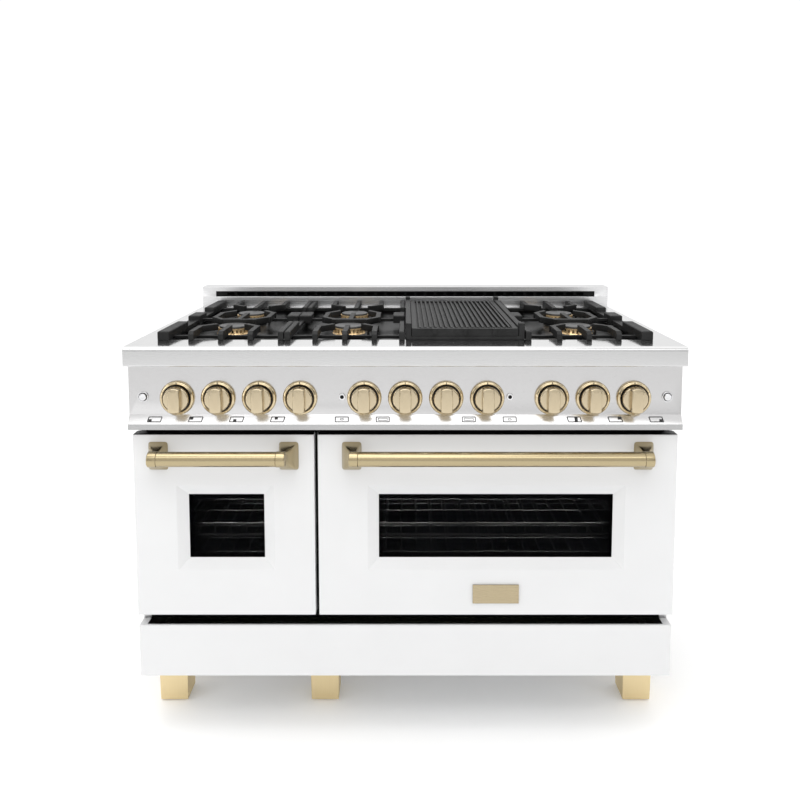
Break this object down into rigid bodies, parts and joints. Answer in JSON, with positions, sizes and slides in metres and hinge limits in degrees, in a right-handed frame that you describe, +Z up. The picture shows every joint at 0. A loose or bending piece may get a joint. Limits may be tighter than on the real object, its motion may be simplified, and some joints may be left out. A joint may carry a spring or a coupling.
{
  "type": "freestanding gas range",
  "caption": "Freestanding gas range with open burners and a ribbed griddle over side-by-side ovens; hinged oven doors, turning knobs, push buttons and lift-off cast grates.",
  "frame": {"origin": "centre of the bounding box's footprint, on the floor", "axes": "+X to the right of someone facing the doors, +Y to the back, +Z up; the doors face -Y"},
  "size_m": [1.216, 0.7638, 0.98],
  "materials": {
    "white_paint": "matte white powder coat",
    "stainless": "fine brushed",
    "snow_stainless": "fine textured bright",
    "polished_stainless": "polished",
    "galvanised": "dull galvanised",
    "black_enamel": "gloss porcelain",
    "grey_enamel": "speckled porcelain",
    "cast_iron": "matte enamelled",
    "champagne_gold": "satin champagne gold",
    "pale_gold": "pale satin",
    "burner_brass": "turned",
    "dark_glass": "gloss",
    "lamp_glass": "clear",
    "rack_wire": "bright",
    "gasket_rubber": "woven",
    "mineral_wool": "fibrous",
    "black_plastic": "satin"
  },
  "bodies": {
    "range_body": {"base_pan": "galvanised", "side_panels": "stainless", "back_panel": "galvanised", "front_frame": "black_enamel", "kick_panel": "white_paint", "legs": "pale_gold", "cooktop_panel": "polished_stainless", "burner_well": "black_enamel", "burner_heads": "burner_brass", "burner_caps": "black_enamel", "tube_burners": "stainless", "spark_ignition": "black_plastic", "gas_pipework": "galvanised", "gas_valves": "burner_brass", "back_riser": "polished_stainless", "riser_grille": "black_enamel", "control_panel": "snow_stainless", "knob_bezels": "champagne_gold", "panel_lamps": "polished_stainless", "left_oven_liner": "grey_enamel", "right_oven_liner": "grey_enamel", "oven_insulation": "mineral_wool", "door_gaskets": "gasket_rubber", "oven_floor_plates": "grey_enamel", "rack_guides": "rack_wire", "oven_lamps": "lamp_glass", "service_inlets": "galvanised"},
    "left_door": {"left_door_skin": "white_paint", "left_door_liner": "black_enamel", "left_door_glass": "dark_glass", "left_door_hinges": "galvanised", "left_door_handle": "champagne_gold"},
    "right_door": {"right_door_skin": "white_paint", "right_door_liner": "black_enamel", "right_door_glass": "dark_glass", "right_door_hinges": "galvanised", "right_door_handle": "champagne_gold", "badge_plate": "champagne_gold"},
    "knob_1": {"knob_1": "champagne_gold"},
    "knob_2": {"knob_2": "champagne_gold"},
    "knob_3": {"knob_3": "champagne_gold"},
    "knob_4": {"knob_4": "champagne_gold"},
    "knob_5": {"knob_5": "champagne_gold"},
    "knob_6": {"knob_6": "champagne_gold"},
    "knob_7": {"knob_7": "champagne_gold"},
    "knob_8": {"knob_8": "champagne_gold"},
    "knob_9": {"knob_9": "champagne_gold"},
    "knob_10": {"knob_10": "champagne_gold"},
    "knob_11": {"knob_11": "champagne_gold"},
    "lamp_button_left": {"lamp_button_left": "polished_stainless"},
    "lamp_button_right": {"lamp_button_right": "polished_stainless"},
    "grate_left": {"grate_left": "cast_iron"},
    "grate_middle": {"grate_middle": "cast_iron"},
    "grate_right": {"grate_right": "cast_iron"},
    "griddle_grate": {"griddle_grate": "cast_iron"},
    "griddle_plate": {"griddle_plate": "cast_iron"},
    "left_rack_upper": {"left_rack_upper": "rack_wire"},
    "left_rack_lower": {"left_rack_lower": "rack_wire"},
    "right_rack_upper": {"right_rack_upper": "rack_wire"},
    "right_rack_lower": {"right_rack_lower": "rack_wire"}
  },
  "joints": [
    {"name": "left_door_hinge", "type": "hinge", "parent": "range_body", "child": "left_door", "pos_m": [-0.4, -0.2821, 0.304], "axis": [1, 0, 0], "range_deg": [0, 90], "stiffness_Nm_per_rad": 3.5, "springref_deg": -68.75},
    {"name": "right_door_hinge", "type": "hinge", "parent": "range_body", "child": "right_door", "pos_m": [0.2, -0.2821, 0.304], "axis": [1, 0, 0], "range_deg": [0, 90], "stiffness_Nm_per_rad": 6, "springref_deg": -74.48},
    {"name": "knob_1_turn", "type": "hinge", "parent": "range_body", "child": "knob_1", "pos_m": [-0.501, -0.3321, 0.8025], "axis": [0, -1, 0], "range_deg": [0, 240]},
    {"name": "knob_2_turn", "type": "hinge", "parent": "range_body", "child": "knob_2", "pos_m": [-0.411, -0.3321, 0.8025], "axis": [0, -1, 0], "range_deg": [0, 240]},
    {"name": "knob_3_turn", "type": "hinge", "parent": "range_body", "child": "knob_3", "pos_m": [-0.321, -0.3321, 0.8025], "axis": [0, 1, 0], "range_deg": [0, 300]},
    {"name": "knob_4_turn", "type": "hinge", "parent": "range_body", "child": "knob_4", "pos_m": [-0.231, -0.3321, 0.8025], "axis": [0, 1, 0], "range_deg": [0, 300]},
    {"name": "knob_5_turn", "type": "hinge", "parent": "range_body", "child": "knob_5", "pos_m": [-0.09, -0.3321, 0.8025], "axis": [0, -1, 0], "range_deg": [0, 240]},
    {"name": "knob_6_turn", "type": "hinge", "parent": "range_body", "child": "knob_6", "pos_m": [0, -0.3321, 0.8025], "axis": [0, -1, 0], "range_deg": [0, 240]},
    {"name": "knob_7_turn", "type": "hinge", "parent": "range_body", "child": "knob_7", "pos_m": [0.09, -0.3321, 0.8025], "axis": [0, -1, 0], "range_deg": [0, 240]},
    {"name": "knob_8_turn", "type": "hinge", "parent": "range_body", "child": "knob_8", "pos_m": [0.18, -0.3321, 0.8025], "axis": [0, -1, 0], "range_deg": [0, 240]},
    {"name": "knob_9_turn", "type": "hinge", "parent": "range_body", "child": "knob_9", "pos_m": [0.322, -0.3321, 0.8025], "axis": [0, -1, 0], "range_deg": [0, 240]},
    {"name": "knob_10_turn", "type": "hinge", "parent": "range_body", "child": "knob_10", "pos_m": [0.412, -0.3321, 0.8025], "axis": [0, -1, 0], "range_deg": [0, 240]},
    {"name": "knob_11_turn", "type": "hinge", "parent": "range_body", "child": "knob_11", "pos_m": [0.502, -0.3321, 0.8025], "axis": [0, 1, 0], "range_deg": [0, 300]},
    {"name": "lamp_button_left_press", "type": "slide", "parent": "range_body", "child": "lamp_button_left", "axis": [0, 1, 0], "range_m": [0, 0.003], "stiffness_N_per_m": 400, "springref_m": -0.001},
    {"name": "lamp_button_right_press", "type": "slide", "parent": "range_body", "child": "lamp_button_right", "axis": [0, 1, 0], "range_m": [0, 0.003], "stiffness_N_per_m": 400, "springref_m": -0.001},
    {"name": "grate_left_lift", "type": "slide", "parent": "range_body", "child": "grate_left", "axis": [0, 0, 1], "range_m": [0, 0.08]},
    {"name": "grate_middle_lift", "type": "slide", "parent": "range_body", "child": "grate_middle", "axis": [0, 0, 1], "range_m": [0, 0.08]},
    {"name": "grate_right_lift", "type": "slide", "parent": "range_body", "child": "grate_right", "axis": [0, 0, 1], "range_m": [0, 0.08]},
    {"name": "griddle_grate_lift", "type": "slide", "parent": "range_body", "child": "griddle_grate", "axis": [0, 0, 1], "range_m": [0, 0.08]},
    {"name": "griddle_plate_lift", "type": "slide", "parent": "griddle_grate", "child": "griddle_plate", "axis": [0, 0, 1], "range_m": [0, 0.06]},
    {"name": "left_rack_upper_slide", "type": "slide", "parent": "range_body", "child": "left_rack_upper", "axis": [0, -1, 0], "range_m": [0, 0.012]},
    {"name": "left_rack_lower_slide", "type": "slide", "parent": "range_body", "child": "left_rack_lower", "axis": [0, -1, 0], "range_m": [0, 0.012]},
    {"name": "right_rack_upper_slide", "type": "slide", "parent": "range_body", "child": "right_rack_upper", "axis": [0, -1, 0], "range_m": [0, 0.012]},
    {"name": "right_rack_lower_slide", "type": "slide", "parent": "range_body", "child": "right_rack_lower", "axis": [0, -1, 0], "range_m": [0, 0.012]}
  ]
}
